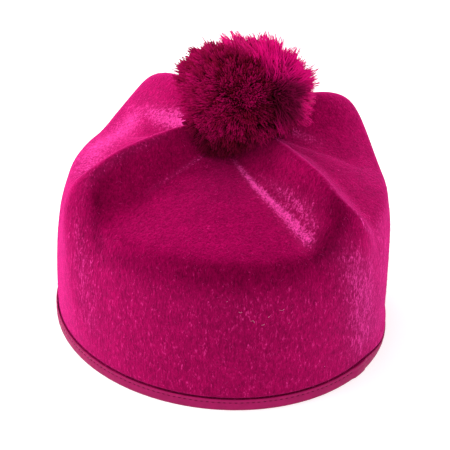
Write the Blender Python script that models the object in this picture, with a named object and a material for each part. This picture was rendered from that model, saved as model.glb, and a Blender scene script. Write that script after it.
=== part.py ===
"""A moulded felt biretta with four ridges, a bound hem and a yarn pompon.

Lengths are metres and +Z is up. The hem rests on the XY plane, and the middle of the whole
part's box lies over the origin. The long axis of the head opening lies along Y, with the
wearer's face towards -Y.
"""

import math
import random
from collections import namedtuple

import bmesh
import bpy
from mathutils import Vector
from mathutils.bvhtree import BVHTree

# The felt form, measured on its outside.
CAP_LENGTH = 0.1960
CAP_WIDTH = 0.1764
FELT = 0.0025
SHOULDER_HEIGHT = 0.0820
HORN_HEIGHT = 0.1035
RIDGE_HEIGHT = 0.1193
CROWN_HEIGHT = 0.1135
SEAT_RADIUS = 0.013
# Across a ridge, from its crest down to the crease beside it.
FLANK = 0.0185
# How far the middle of the crown lies from the middle of the hem.
LEAN_RIGHT = 0.0102
LEAN_BACK = 0.0014

# The ribbon that binds the hem.
BINDING_HEIGHT = 0.0064
BINDING = 0.0008
BINDING_GAP = 0.0003
LAP_AZIMUTH = -62.0
LAP_LENGTH = 0.012
LAP_RISE = 0.0006

# The yarn pompon: a core with locks of yarn all over it.
POMPON_CORE = 0.0165
POMPON_FLATNESS = 0.94
POMPON_GAP = 0.0003
POMPON_LEAN_RIGHT = 0.0030
POMPON_LEAN_BACK = -0.0040
LOCK_LENGTH = 0.0178
LOCK_GAP = 0.0004
LOCK_TAPER = 0.80
LOCK_VARIATION = 0.07
LOCK_CLEARANCE = 0.0022
LOCK_SEED = 5

# Mesh density: degrees between the lines on the floor of a hollow, and the steps up the cap
# between two rings.
FLOOR_SPACING = 10.5
RING_STEPS = 2
# Near the middle of the crown a crease keeps to this share of the half hollow beside it, and
# the edge of the floor to this share of what is left.
CREASE_LIMIT = 0.85
FLOOR_LIMIT = 0.80

# The crests of the ridges, by their direction from the middle of the crown, in degrees. Towards
# its horn a crest swings round by some degrees more, or with a minus by fewer.
# The flanks are shares of FLANK, on the side of the ridge before it and after it, and the
# creases say how deep the fold at the foot of each is, as a share of the ridge's rise, or
# with a minus how far it is filled. The stretch is how far a ridge reaches out and up, as a
# share of what the rings say.
Ridge = namedtuple(
    "Ridge",
    "name azimuth swing flank_before flank_after crease_before crease_after stretch",
)
RIDGES = (
    Ridge("right", 2.0, 0.0, 2.20, 2.20, 0.02, 0.04, 1.012),
    Ridge("back", 89.0, 0.0, 2.20, 2.00, 0.04, 0.08, 1.000),
    Ridge("left", 179.0, -8.0, 1.90, 1.00, 0.04, -0.05, 1.018),
    Ridge("front", 277.8, 9.8, 0.88, 1.40, 0.10, 0.01, 0.997),
)

# Across a ridge: how far out as a share of its flank, how high as a share of its rise, and how
# much of its crease is there.
Step = namedtuple("Step", "name out height crease")
RIDGE_STEPS = (
    Step("brow", 0.12, 0.93, 0.0),
    Step("upper flank", 0.29, 0.58, 0.0),
    Step("lower flank", 0.53, 0.27, 0.0),
    Step("foot", 0.80, 0.08, 0.3),
    Step("crease", 1.00, 0.00, 1.0),
    Step("lip", 1.25, 0.00, 0.3),
    Step("edge of the floor", 1.80, 0.00, 0.0),
)

# Rings of the mould, from the hem up, at the middle of a hollow and along a ridge's crest.
# Gather is how far the mesh's lines have come from even spacing to the ridges and creases.
# Roundness is how far the section across a ridge is a wave there, and not the folded one.
# A swing is a share of the ridge's, and a lean a share of the crown's.
# A reach is a share of the hem's half size.
# A rise is a share of SHOULDER_HEIGHT in a hollow and of HORN_HEIGHT on a ridge.
Ring = namedtuple(
    "Ring", "name gather roundness swing lean hollow_reach hollow_rise ridge_reach ridge_rise"
)
WALL_RINGS = (
    Ring("low wall", 0.20, 1.00, 0.15, 0.05, 1.005, 0.30, 1.005, 0.26),
    Ring("mid wall", 0.60, 1.00, 0.60, 0.15, 1.003, 0.56, 1.010, 0.52),
    Ring("high wall", 0.95, 1.00, 1.00, 0.30, 0.992, 0.78, 1.012, 0.76),
    Ring("under the turn", 1.00, 0.85, 0.90, 0.42, 0.967, 0.91, 0.976, 0.91),
    Ring("the turn", 1.00, 0.55, 0.40, 0.52, 0.943, 1.00, 0.927, 1.00),
)
# Above the turn a rise is a share of the way from SHOULDER_HEIGHT up to CROWN_HEIGHT in a
# hollow, and from HORN_HEIGHT up to RIDGE_HEIGHT on a ridge.
CROWN_RINGS = (
    Ring("over the turn", 1.00, 0.20, 0.15, 0.65, 0.862, 0.13, 0.850, 0.42),
    Ring("outer floor", 1.00, 0.05, 0.10, 0.80, 0.730, 0.29, 0.720, 0.74),
    Ring("mid floor", 1.00, 0.00, 0.00, 0.92, 0.580, 0.46, 0.560, 0.92),
    Ring("inner floor", 1.00, 0.00, 0.00, 1.00, 0.420, 0.60, 0.400, 1.00),
    Ring("hub", 1.00, 0.00, 0.00, 1.00, 0.260, 0.76, 0.250, 0.96),
)


def material(name, color, roughness, sheen):
    """A Principled material with the piece's colour."""
    made = bpy.data.materials.new(name)
    made.use_nodes = True
    shader = made.node_tree.nodes["Principled BSDF"]
    shader.inputs["Base Color"].default_value = (*color, 1.0)
    shader.inputs["Roughness"].default_value = roughness
    shader.inputs["Metallic"].default_value = 0.0
    shader.inputs["Sheen Weight"].default_value = sheen
    return made


def add_piece(name, mesh_builder, piece_material, smooth=True):
    """Turn a finished bmesh into a named object."""
    mesh = bpy.data.meshes.new(name)
    mesh_builder.to_mesh(mesh)
    mesh_builder.free()
    for face in mesh.polygons:
        face.use_smooth = smooth
    mesh.materials.append(piece_material)
    piece = bpy.data.objects.new(name, mesh)
    bpy.context.collection.objects.link(piece)
    return piece


def mix(first, second, share):
    return first + (second - first) * share


def smooth_between(before, start, end, after, share):
    """A point on the Catmull-Rom curve from start to end."""
    rise, fall = share * share * (3 - 2 * share), share * share * (share - 1)
    leave = share * (share - 1) ** 2
    return tuple(
        mix(b, c, rise) + leave * (c - a) / 2 + fall * (d - b) / 2
        for a, b, c, d in zip(before, start, end, after)
    )


def close_rings(mesh_builder, lines, steps):
    """Join neighbouring lines of points with faces, all the way round."""
    for index, line in enumerate(lines):
        following = lines[(index + 1) % len(lines)]
        for step in range(steps):
            above = (step + 1) % len(line)
            corners = (line[step], following[step], following[above], line[above])
            mesh_builder.faces.new(corners)


def hem_radius(azimuth, outset=0.0):
    """The distance of the hem's oval from its middle, in one direction."""
    across = CAP_WIDTH / 2 + outset
    along = CAP_LENGTH / 2 + outset
    return 1 / math.hypot(math.cos(azimuth) / across, math.sin(azimuth) / along)


# A line of the mesh up the cap. It follows the ridge before it or the one after it, some
# flanks away from its crest, or it lies a share of the way across the floor between them.
# Even is its direction where the lines are evenly spaced, and weight its share of a ridge.
Column = namedtuple("Column", "ridge after before floor even weight")


def hollow_width(ridge):
    """The angle from a ridge's crest to the next one's."""
    following = RIDGES[(ridge + 1) % len(RIDGES)]
    return math.radians((following.azimuth - RIDGES[ridge].azimuth) % 360)


def turn_from_crest(out, flank, half_hollow, radius):
    """The angle from a ridge's crest to a line that lies out flanks away from it."""
    crease = min(flank / radius, CREASE_LIMIT * half_hollow)
    if out <= 1:
        return out * crease
    room = (half_hollow - crease) * FLOOR_LIMIT / (RIDGE_STEPS[-1].out - 1)
    return crease + (out - 1) * min(flank / radius, room)


def turn_after(ridge, out, radius):
    """The angle from a ridge's crest to a line on the side of it towards the next ridge."""
    flank = FLANK * RIDGES[ridge].flank_after
    return turn_from_crest(out, flank, hollow_width(ridge) / 2, radius)


def turn_before(ridge, out, radius):
    """The angle from a ridge's crest to a line on the near side of the next ridge."""
    flank = FLANK * RIDGES[(ridge + 1) % len(RIDGES)].flank_before
    width = hollow_width(ridge)
    return width - turn_from_crest(out, flank, width / 2, radius)


def column_azimuth(column, radius):
    """The direction of a column's point at one radius from the middle of its ring."""
    if column.after is not None:
        turn = turn_after(column.ridge, column.after, radius)
    elif column.before is not None:
        turn = turn_before(column.ridge, column.before, radius)
    else:
        edge = RIDGE_STEPS[-1].out
        start = turn_after(column.ridge, edge, radius)
        turn = mix(start, turn_before(column.ridge, edge, radius), column.floor)
    return math.radians(RIDGES[column.ridge].azimuth) + turn


def hollow_columns(ridge):
    """The lines from one ridge's crest up to the next one's, with no even direction yet."""
    edge = RIDGE_STEPS[-1].out
    mean_radius = (CAP_LENGTH + CAP_WIDTH) / 4
    floor = turn_before(ridge, edge, mean_radius) - turn_after(ridge, edge, mean_radius)
    steps = max(1, round(math.degrees(floor) / FLOOR_SPACING))
    found = [Column(ridge, 0.0, None, None, None, 1.0)]
    for step in RIDGE_STEPS:
        weight = step.height - step.crease * RIDGES[ridge].crease_after
        found.append(Column(ridge, step.out, None, None, None, weight))
    for index in range(1, steps):
        found.append(Column(ridge, None, None, index / steps, None, 0.0))
    following = RIDGES[(ridge + 1) % len(RIDGES)]
    for step in reversed(RIDGE_STEPS):
        weight = step.height - step.crease * following.crease_before
        found.append(Column(ridge, None, step.out, None, None, weight))
    return found


def columns():
    """The lines of the mesh, round the cap, so that each crest and crease has its own."""
    found = []
    for ridge in range(len(RIDGES)):
        lines = hollow_columns(ridge)
        for index, line in enumerate(lines):
            turn = hollow_width(ridge) * index / len(lines)
            found.append(line._replace(even=math.radians(RIDGES[ridge].azimuth) + turn))
    return found


def followed(column):
    """The ridge that a column follows."""
    return RIDGES[(column.ridge + (column.before is not None)) % len(RIDGES)]


def stretch(column):
    """How far the ridge that a column follows is stretched there."""
    return 1 + (followed(column).stretch - 1) * column.weight


def distance_out(column):
    """How far a column lies from the crest that it follows, in flanks."""
    outs = [out for out in (column.after, column.before) if out is not None]
    return outs[0] if outs else RIDGE_STEPS[-1].out


def swing(column):
    """How far a column turns at the horn with the crest that it follows.

    The foot that the crest turns away from stays, and so does the edge of the floor ahead.
    """
    ridge = followed(column)
    ahead = (column.after is not None) == (ridge.swing > 0)
    still = RIDGE_STEPS[-1].out if ahead else 1.0
    return math.radians(ridge.swing) * max(0.0, 1 - distance_out(column) / still)


def weight_at(column, ring):
    """A column's weight at one ring, where the ridge may be rounded off."""
    wave = (1 + math.cos(math.pi * min(1.0, distance_out(column)))) / 2
    return mix(column.weight, wave, ring.roundness)


def control_points(column):
    """A column's (azimuth, radius, height, lean) at each ring, from the hem up."""
    edge = hem_radius(column.even)
    points = [
        (column.even, edge, BINDING + BINDING_GAP, 0.0),
        (column.even, edge, BINDING_HEIGHT, 0.0),
    ]
    for ring in WALL_RINGS + CROWN_RINGS:
        if ring in WALL_RINGS:
            hollow = SHOULDER_HEIGHT * ring.hollow_rise
            crest = HORN_HEIGHT * ring.ridge_rise
        else:
            hollow = mix(SHOULDER_HEIGHT, CROWN_HEIGHT, ring.hollow_rise)
            crest = mix(HORN_HEIGHT, RIDGE_HEIGHT, ring.ridge_rise)
        gathered = column_azimuth(column, edge * ring.hollow_reach)
        azimuth = mix(column.even, gathered, ring.gather) + swing(column) * ring.swing
        weight = weight_at(column, ring)
        reach = mix(ring.hollow_reach, ring.ridge_reach * stretch(column), weight)
        height = mix(hollow, crest * stretch(column), weight)
        points.append((azimuth, hem_radius(azimuth) * reach, height, ring.lean))
    points.append((column_azimuth(column, SEAT_RADIUS), SEAT_RADIUS, CROWN_HEIGHT, 1.0))
    return points


def outline(column):
    """A column's control points with smooth points between them."""
    points = control_points(column)
    found = [points[0]]
    last = len(points) - 1
    for index in range(1, last):
        before, start = points[index - 1], points[index]
        end, after = points[index + 1], points[min(index + 2, last)]
        for step in range(RING_STEPS):
            found.append(smooth_between(before, start, end, after, step / RING_STEPS))
    found.append(points[last])
    return found


def cap_surface():
    """The outside of the cap, open at the hem."""
    surface = bmesh.new()
    crown_middle = Vector((LEAN_RIGHT, LEAN_BACK, 0.0))
    lines = []
    for column in columns():
        line = []
        for azimuth, radius, height, lean in outline(column):
            place = Vector((radius * math.cos(azimuth), radius * math.sin(azimuth), height))
            line.append(surface.verts.new(place + crown_middle * lean))
        lines.append(line)
    close_rings(surface, lines, len(lines[0]) - 1)
    surface.faces.new([line[-1] for line in lines])
    bmesh.ops.recalc_face_normals(surface, faces=surface.faces)
    return surface


def felt_cap():
    """The whole felt form: wall, shoulders, ridges, hollows and crown, one wall thick."""
    velour = material("velour_felt", (0.44, 0.0, 0.13), 0.9, 1.0)
    cap = add_piece("felt_cap", cap_surface(), velour)
    wall = cap.modifiers.new("Felt thickness", "SOLIDIFY")
    wall.thickness = FELT
    wall.offset = -1
    wall.use_even_offset = True
    return cap


def binding_section(lap):
    """The ribbon's section round the felt's edge: (offset from the felt's outside, height)."""
    outside = BINDING_GAP + BINDING + LAP_RISE * lap
    inside = -FELT - BINDING_GAP
    return (
        (outside, 0.0),
        (outside, BINDING_HEIGHT),
        (BINDING_GAP, BINDING_HEIGHT),
        (BINDING_GAP, BINDING),
        (inside, BINDING),
        (inside, BINDING_HEIGHT),
        (inside - BINDING, BINDING_HEIGHT),
        (inside - BINDING, 0.0),
    )


def lap_share(azimuth):
    """1 where the ribbon's end lies over its start, and 0 elsewhere."""
    turn = math.remainder(azimuth - math.radians(LAP_AZIMUTH), math.tau)
    return 1.0 if abs(turn) * hem_radius(azimuth) < LAP_LENGTH / 2 else 0.0


def hem_binding():
    """The ribbon folded up both sides of the felt's edge."""
    ribbon = bmesh.new()
    sections = []
    for azimuth in (column.even for column in columns()):
        section = []
        for outset, height in binding_section(lap_share(azimuth)):
            radius = hem_radius(azimuth, outset)
            place = (radius * math.cos(azimuth), radius * math.sin(azimuth), height)
            section.append(ribbon.verts.new(place))
        sections.append(section)
    close_rings(ribbon, sections, len(sections[0]))
    bmesh.ops.recalc_face_normals(ribbon, faces=ribbon.faces)
    satin = material("satin_ribbon", (0.42, 0.01, 0.15), 0.45, 0.2)
    return add_piece("hem_binding", ribbon, satin, smooth=False)


def lock_tip(corner, root, away, length):
    """Where a corner of a lock's root comes to lie at its tip."""
    spread = LOCK_TAPER * (1 + length / POMPON_CORE)
    return root + away * length + (corner - root) * spread


def share_clear_of_felt(start, end, cap_tree):
    """How much of a line is clear of the felt, as a share of its length."""
    path = end - start
    distance = cap_tree.ray_cast(start, path.normalized())[3]
    if distance is None:
        return 1.0
    return min(1.0, max(0.0, distance - LOCK_CLEARANCE) / path.length)


def pompon(cap_tree):
    """A ball of yarn in tapered locks, cut short where the felt is in their way."""
    ball = bmesh.new()
    bmesh.ops.create_icosphere(ball, subdivisions=3, radius=POMPON_CORE)
    height = CROWN_HEIGHT + POMPON_GAP + POMPON_CORE * POMPON_FLATNESS
    middle = Vector((LEAN_RIGHT + POMPON_LEAN_RIGHT, LEAN_BACK + POMPON_LEAN_BACK, height))
    bmesh.ops.scale(ball, verts=ball.verts, vec=(1.0, 1.0, POMPON_FLATNESS))
    bmesh.ops.translate(ball, verts=ball.verts, vec=middle)
    faces = list(ball.faces)
    bmesh.ops.inset_individual(ball, faces=faces, thickness=LOCK_GAP, use_even_offset=True)
    locks = bmesh.ops.extrude_discrete_faces(ball, faces=faces)["faces"]
    chance = random.Random(LOCK_SEED)
    for lock in locks:
        root = lock.calc_center_median()
        away = (root - middle).normalized()
        length = LOCK_LENGTH * chance.uniform(1 - LOCK_VARIATION, 1 + LOCK_VARIATION)
        corners = [corner.co.copy() for corner in lock.verts]
        length *= min(
            share_clear_of_felt(corner, lock_tip(corner, root, away, length), cap_tree)
            for corner in corners
        )
        for corner in lock.verts:
            corner.co = lock_tip(corner.co, root, away, length)
    yarn = material("yarn", (0.40, 0.0, 0.10), 0.95, 0.6)
    return add_piece("pompon", ball, yarn, smooth=False)


def centre_over_origin(pieces):
    """Bring the middle of the whole part's box over the origin, all pieces together."""
    corners = [corner.co for piece in pieces for corner in piece.data.vertices]
    rights = [corner.x for corner in corners]
    backs = [corner.y for corner in corners]
    middle = Vector((min(rights) + max(rights), min(backs) + max(backs), 0.0)) / 2
    for corner in corners:
        corner -= middle


def main():
    for old in list(bpy.data.objects):
        bpy.data.objects.remove(old, do_unlink=True)
    surface = cap_surface()
    cap_tree = BVHTree.FromBMesh(surface)
    surface.free()
    centre_over_origin([felt_cap(), hem_binding(), pompon(cap_tree)])


main()
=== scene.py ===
"""Looks for a moulded felt biretta: velour felt, a bound hem and a yarn pompon.

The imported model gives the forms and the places. Lengths are metres, +Z is up, and the
wearer's face is towards -Y.
"""

import math
from collections import namedtuple

import bmesh
import bpy
import numpy as np
from bpy.props import (
    FloatProperty,
    FloatVectorProperty,
    IntProperty,
    PointerProperty,
)
from mathutils import Matrix, Vector
from mathutils.bvhtree import BVHTree


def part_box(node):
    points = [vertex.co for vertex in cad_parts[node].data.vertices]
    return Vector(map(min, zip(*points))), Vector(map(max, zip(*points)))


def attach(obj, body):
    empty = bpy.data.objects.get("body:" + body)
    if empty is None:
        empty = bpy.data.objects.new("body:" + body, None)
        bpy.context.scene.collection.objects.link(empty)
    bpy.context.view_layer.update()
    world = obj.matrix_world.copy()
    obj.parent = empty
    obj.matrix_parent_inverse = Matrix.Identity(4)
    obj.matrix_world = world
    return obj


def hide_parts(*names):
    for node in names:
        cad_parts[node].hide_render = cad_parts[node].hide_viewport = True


bl_info = {
    "name": "Felt biretta",
    "version": (1, 0, 0),
    "blender": (4, 5, 0),
    "location": "3D View > Sidebar > Biretta",
    "description": "Dresses a felt biretta with its nap, ribbon, stitches and yarn",
    "category": "Object",
}

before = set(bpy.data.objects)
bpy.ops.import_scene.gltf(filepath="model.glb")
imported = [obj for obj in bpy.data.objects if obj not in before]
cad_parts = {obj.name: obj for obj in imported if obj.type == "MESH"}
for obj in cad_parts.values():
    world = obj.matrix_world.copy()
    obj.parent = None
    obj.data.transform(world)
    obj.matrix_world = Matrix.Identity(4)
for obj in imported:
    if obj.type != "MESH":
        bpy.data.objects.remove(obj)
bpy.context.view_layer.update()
MM = 0.001
# Vertices nearer than this are one.
MERGE_DISTANCE = 0.01 * MM

# The hem's oval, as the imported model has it.
HEM_LOW, HEM_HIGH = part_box("hem_binding")
HEM_MIDDLE = Vector(((HEM_LOW.x + HEM_HIGH.x) / 2, (HEM_LOW.y + HEM_HIGH.y) / 2, 0.0))
HEM_ACROSS = (HEM_HIGH.x - HEM_LOW.x) / 2
HEM_ALONG = (HEM_HIGH.y - HEM_LOW.y) / 2
HEM_HEIGHT = HEM_HIGH.z

# The box of the yarn ball, and the ball's height as a share of its width.
POMPON_LOW, POMPON_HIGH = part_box("pompon")
POMPON_FLATNESS = 0.94

# The thickness of the ribbon and of the felt, and the gap between them.
RIBBON = 0.8 * MM
RIBBON_GAP = 0.3 * MM
FELT = 2.5 * MM
# In how many steps the ribbon goes round.
RIBBON_STEPS = 288

# How far the stitches lie below the ribbon's upper edge, and how thick they are.
STITCH_DROP = 1.7 * MM
STITCH_THICKNESS = 0.48 * MM

# Where the ribbon's end lies over its start, in degrees from the wearer's left round to the
# back, and how long and how thick that lap is.
LAP_TURN = -71.5
LAP_LENGTH = 12 * MM
LAP_RISE = 0.6 * MM

# Beside the lap the felt hangs over the ribbon. In the same degrees: where that starts, where
# it is full, where it starts to end and where it ends. In full it hides this share of the
# ribbon.
OVERHANG = (-70.0, -48.0, -38.0, -12.0)
OVERHANG_SHARE = 0.8

# How far the ribbon draws the felt in, over what height that fades, and over what height the
# felt that hangs over the ribbon comes back in.
TIGHTNESS = 0.9 * MM
TIGHT_FADE = 0.7 * MM
HANG_FADE = 3.0 * MM
# The heights above and below the ribbon's edge, in millimetres, at which the felt gets a row of
# vertices for that.
HEM_ROWS = (-4.8, -4.0, -3.2, -2.4, -1.6, -0.6, 0.0, 0.3, 0.6, 1.0, 1.7, 2.6)

# The wall is brushed all over, to this strength, and less and less between these heights.
WALL_BRUSHING = 0.18
WALL_BRUSHED_TO = 60 * MM
WALL_UNBRUSHED_FROM = 78 * MM
# How dark the painted shade in the crevice over the ribbon is, and how high that is.
CREVICE_SHADE_STRENGTH = 0.60
CREVICE_SHADE_HEIGHT = 0.5 * MM

# Where the felt is painted pale or dark: strokes through places, each with x, y, z and the
# stroke's half width in millimetres, and its strength there. On the crown the pale strokes are
# mostly painted highlights, along the ridges' crests and feet and over the lit left sector; on
# the wall they are rubbed, paler nap. The dark strokes are all painted shade.
Stroke = namedtuple("Stroke", "name places")
PALE_STROKES = (
    Stroke(
        "foot of the front ridge",
        (
            (-5, -20, 105, 1.4, 0.50), (-4, -34, 100, 2.4, 0.90), (-3, -48, 97, 3.2, 0.90),
            (0, -65, 91, 4.4, 0.85), (2, -82, 86, 5.0, 0.70), (3, -89, 84, 4.0, 0.0),
        ),
    ),
    Stroke(
        "side of the front ridge",
        (
            (1, -38, 102, 2.5, 0.25), (5, -55, 99, 6.0, 0.45), (7, -70, 96, 7.0, 0.50),
            (6, -79, 92, 6.0, 0.45), (3, -87, 86, 4.0, 0.0),
        ),
    ),
    Stroke(
        "crest of the front ridge",
        (
            (14.5, -44, 118.6, 0.7, 0.20), (18, -81, 110, 0.7, 0.40), (25.5, -89, 100, 0.7, 0.50),
            (28, -89.6, 97, 0.7, 0.60), (31.5, -91, 89, 0.8, 0.80), (37, -88.3, 83, 0.8, 0.60),
            (41, -85.5, 79, 0.8, 0.0),
        ),
    ),
    Stroke("foot of the left ridge", ((-18, -10, 107, 1.0, 0.50), (-53, -12, 96, 1.5, 0.15))),
    Stroke(
        "near side of the left ridge",
        (
            (-34, 0, 120, 2.5, 0.20), (-61, 0, 115, 3.0, 0.28), (-77, 2, 106, 3.5, 0.28),
            (-84, 5, 97, 4.0, 0.20), (-87, 5, 86, 6.0, 0.15),
        ),
    ),
    Stroke(
        "foot of the back ridge",
        (
            (-13, 83, 94, 6, 0.30), (-12, 63, 99, 7, 0.50), (-10, 45, 103, 8, 0.75),
            (-5, 31, 106, 9, 0.95),
        ),
    ),
    Stroke(
        "left sector",
        ((-61, 43, 86, 14, 0.55), (-43, 61, 88, 16, 0.70), (-20, 68, 93, 14, 0.70)),
    ),
    Stroke("beside the pompon", ((38, -9, 107, 4.0, 0.50), (49, -19, 100, 5.0, 0.25))),
    Stroke(
        "wall below the front horn",
        (
            (21, -93, 87, 4, 0.20), (20, -96, 73, 13, 0.46), (33, -92, 50, 20, 0.56),
            (34, -90, 25, 20, 0.50),
        ),
    ),
    Stroke("right end of the wall", ((50, -79, 72, 15, 0.38), (50, -80, 14, 17, 0.38))),
    Stroke(
        "wall below the left horn",
        ((-86, 7, 86, 6, 0.20), (-89, -4, 60, 14, 0.36), (-89, -13, 30, 14, 0.34)),
    ),
)
# Painted shade: under the front ridge, in the front hollow and the left horn, on the hollow's
# shoulder and at the wall's ends.
PAINTED_SHADE_STROKES = (
    Stroke(
        "under the front ridge",
        (
            (11, -66, 105, 5, 0.20), (14, -83, 104, 7, 0.30), (18, -90, 97, 7, 0.30),
            (8, -92, 85, 7, 0.35), (-3, -92, 80, 6, 0.30),
        ),
    ),
    Stroke("top of the front hollow", ((-8, -14, 104, 10, 0.30), (-22, -34, 99, 15, 0.20))),
    Stroke(
        "inside the left horn",
        (
            (-67, -1, 108, 3, 0.0), (-77, -2, 98, 4, 0.30), (-80, -4, 92, 5, 0.40),
            (-81, -6, 85, 5, 0.40), (-82, -10, 78, 5, 0.35), (-82, -16, 72, 5, 0.25),
        ),
    ),
    Stroke("left end of the wall", ((-89, -4, 66, 14, 0.12), (-89, -13, 28, 14, 0.10))),
    Stroke("right part of the wall", ((24, -95, 62, 15, 0.32), (36, -90, 25, 20, 0.34))),
    Stroke(
        "shoulder of the front hollow",
        (
            (-82, -20, 71, 5, 0.20), (-71, -47, 74, 6, 0.25), (-51, -73, 76, 7, 0.25),
            (-25, -89, 76, 7, 0.25), (-2, -92, 80, 7, 0.25),
        ),
    ),
)

# The yarn, with directions as degrees round from the wearer's face and up: where it parts,
# # where its painted shade is darkest, where its cut ends face, and where its long strands fan
# out.
PARTING = (12, 29)
HOLLOW = (17, 15)
CUT_ENDS = (-66, 15)
FAN = (60, 41)
# The fan lies open, so its strands' painted shade is lighter: they are lit from nearer their
# # roots, by this factor.
FAN_LIT = 1.5
# In how many clumps the cut ends lie, and how many strands one end is fluffed into.
CLUMPS = 60
STRANDS_IN_TUFT = 30
# How far the yarn reaches, as a share of the ball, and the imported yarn, as a share of that.
YARN_REACH = 0.97
CORE_REACH = 0.82
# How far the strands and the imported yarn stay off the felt.
YARN_CLEARANCE = 0.5 * MM
CORE_CLEARANCE = 0.4 * MM
# Where the ball swells or is worn short: the direction, how wide, in degrees, and by how much.
Swell = namedtuple("Swell", "turn up width share")
SWELLS = (
    Swell(-144, 31, 26, 0.09), Swell(75, 20, 30, 0.08), Swell(140, 57, 40, -0.03),
    Swell(8, -52, 28, -0.50), Swell(-75, -48, 22, 0.07), Swell(-112, -12, 22, -0.08),
)

# Lint caught in the nap: degrees round from the wearer's face, height, length in millimetres,
# and how steeply it lies, in degrees.
Lint = namedtuple("Lint", "turn height length lean")
LINT = (
    Lint(-24.4, 58.5, 2.4, -5), Lint(-20.5, 53.8, 2.8, -35), Lint(-17.4, 51.0, 2.0, 25),
    Lint(-15.7, 55.5, 1.2, 40), Lint(-11.5, 58.5, 2.9, 10), Lint(-9.6, 50.5, 0.5, 0),
    Lint(3.0, 17.5, 0.6, 60), Lint(-28.5, 64.6, 0.5, 30),
)
LINT_THICKNESS = 0.10 * MM
LINT_CURL = 1.2

# Loose fibres: how thick they are, and how far above the ribbon they start.
FIBRE_THICKNESS = 0.07 * MM
FIBRES_FROM = 2 * MM

# The photograph's camera, from the middle of the hem: degrees round and up, and how far away.
VIEW_ROUND = -30.7
VIEW_UP = 33.0
VIEW_DISTANCE = 1.1236
VIEW_LENS = 160.0
SENSOR = 36.0
PICTURE = 450
# Where the middle of the hem falls in the picture, in pixels from its upper left corner.
HEM_IN_PICTURE = (219.0, 309.3)

# The stage: its lights, with degrees round and up, distance, size and power, the height of the
# place that they are aimed at, and how strong the light from all round is.
Light = namedtuple("Light", "name turn up distance size power")
LIGHTS = (
    Light("key", VIEW_ROUND - 85, 40, 1.2, 0.8, 6.4),
    Light("back", VIEW_ROUND - 140, 35, 1.3, 0.8, 8.0),
    Light("fill", VIEW_ROUND + 100, 50, 1.4, 0.9, 2.9),
)
LIGHT_TARGET_HEIGHT = 70 * MM
SKY_STRENGTH = 1.05
FLOOR_SIZE = 6.0


def linear(hex_color):
    """An sRGB hex colour as linear values."""
    parts = (int(hex_color[place : place + 2], 16) / 255 for place in (1, 3, 5))
    return tuple(
        part / 12.92 if part <= 0.04045 else ((part + 0.055) / 1.055) ** 2.4
        for part in parts
    )


def color_property(name, hex_color, description):
    """A colour that a user may change."""
    return FloatVectorProperty(
        name=name,
        description=description,
        default=linear(hex_color),
        subtype="COLOR",
        size=3,
        min=0.0,
        max=1.0,
    )


def length_property(name, length, description):
    """A length that a user may change."""
    return FloatProperty(name=name, description=description, default=length, unit="LENGTH")


def count_property(name, count, least, description):
    """A number of things that a user may change."""
    return IntProperty(name=name, description=description, default=count, min=least)


class BirettaSizes(bpy.types.PropertyGroup):
    """Sizes and numbers of the small things."""

    stitch_length: length_property(
        "Stitch length", 1.7 * MM, "How long a stitch of the hem shows"
    )
    stitch_pitch: length_property(
        "Stitch pitch", 3.0 * MM, "From one stitch's start to the next one's"
    )
    tuft_count: count_property(
        "Yarn ends", 1600, 100,
        "How many cut ends of yarn the pompon has, each fluffed into strands",
    )
    fan_count: count_property(
        "Long strands", 4500, 0, "How many strands splay out beside the parting"
    )
    strand_width: length_property(
        "Strand width", 0.65 * MM, "How thick a strand of yarn is in the middle"
    )
    fibre_count: count_property(
        "Loose fibres", 5000, 0, "How many fibres stand off the felt"
    )


class BirettaColours(bpy.types.PropertyGroup):
    """Colours of the felt, the ribbon, the thread, the yarn, the lint and the floor."""

    # The felt's three colours draw its sheen: dark seen straight on, lighter edge on, and the lit
    # nap as a painted highlight.
    felt: color_property("Felt", "#6C0130", "The felt seen straight down between its fibres")
    felt_side: color_property("Felt, edge on", "#B4085A", "The sides of the felt's fibres")
    nap: color_property("Nap", "#F446A8", "The lit ends of the felt's fibres")
    ribbon: color_property("Ribbon", "#980852", "The satin ribbon round the hem")
    # The thread's colour is painted dark for the shade of the dents that it lies in.
    thread: color_property("Thread", "#4C0022", "The thread of the stitches")
    # The three yarn colours are one yarn, painted in deep shade, in shade and in full light.
    yarn_deep_shade: color_property("Yarn, deep", "#440014", "The yarn deep in the pompon")
    yarn_shade: color_property("Yarn, in shade", "#780026", "The cut ends that lie deeper")
    yarn_tip: color_property("Yarn, ends", "#E40478", "The cut ends of the yarn in full light")
    # The lint is given a pale pink colour.
    lint: color_property("Lint", "#FFC4E0", "White lint, tinted by the felt round it")
    floor: color_property("Floor", "#E6E6E6", "The plain surface below the cap")


def sizes():
    """The sizes that the user set."""
    return bpy.context.scene.biretta_sizes


def color_of(name):
    """One of the colours that the user set."""
    return tuple(getattr(bpy.context.scene.biretta_colours, name))


def smooth_step(low, high, values):
    """0 at low and beyond it, 1 at high and beyond it, and a soft rise between them."""
    share = np.clip((values - low) / (high - low), 0, 1)
    return share * share * (3 - 2 * share)


def unit(ways):
    """The directions with a length of 1."""
    return ways / np.linalg.norm(ways, axis=-1, keepdims=True)


def view_direction(turn, up):
    """From the object towards an eye that stands turn degrees round and up degrees above."""
    turn, up = math.radians(turn), math.radians(up)
    return Vector((math.sin(turn) * math.cos(up), -math.cos(turn) * math.cos(up), math.sin(up)))


def cosine_to(ways, turn, up):
    """For each direction, the cosine of its angle to the one turn degrees round and up."""
    return ways @ np.array(view_direction(turn, up))


def oval_radius(turn, outset):
    """The distance from the hem's middle to its outside, moved outwards by outset."""
    across, along = HEM_ACROSS + outset, HEM_ALONG + outset
    return 1 / np.hypot(np.cos(turn) / across, np.sin(turn) / along)


def oval_places(turns, outset):
    """The x and y of places round the hem, measured from its middle."""
    radius = oval_radius(turns, outset)
    return radius * np.cos(turns), radius * np.sin(turns)


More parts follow.
